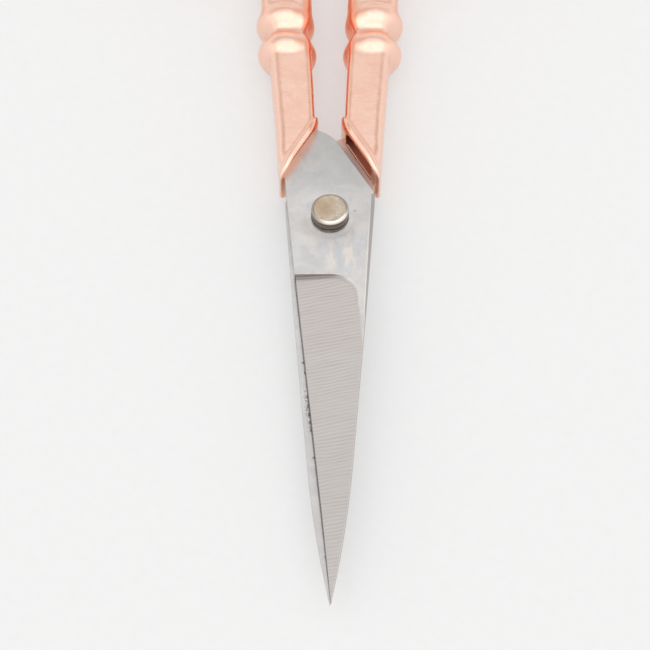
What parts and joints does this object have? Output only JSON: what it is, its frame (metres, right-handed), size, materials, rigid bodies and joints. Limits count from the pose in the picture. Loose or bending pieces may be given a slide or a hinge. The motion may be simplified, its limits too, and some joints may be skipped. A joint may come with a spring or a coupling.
{
  "type": "hair cutting shears",
  "caption": "Small pointed shears: ground steel blades riveted at a pivot, with copper-plated cast handles that have beaded shanks and closed oval finger bows.",
  "frame": {"origin": "centre of the rivet's flat tail face, on the pivot axis", "axes": "+Z along the pivot axis, out of the rivet's head; +Y from the tips towards the finger bows; the handle that opens is at -X"},
  "size_m": [0.0538, 0.1189, 0.0067],
  "materials": {
    "blade_steel": "satin",
    "rose_copper_plate": "polished",
    "rivet_nickel": "satin"
  },
  "bodies": {
    "lower_half": {"lower_blade": "blade_steel", "lower_handle": "rose_copper_plate", "pivot_rivet": "rivet_nickel", "pivot_washer": "rivet_nickel"},
    "upper_half": {"upper_blade": "blade_steel", "upper_handle": "rose_copper_plate"}
  },
  "joints": [
    {"name": "blade_pivot", "type": "hinge", "parent": "lower_half", "child": "upper_half", "pos_m": [0, 0, 0], "axis": [0, 0, 1], "range_deg": [0, 95]}
  ]
}
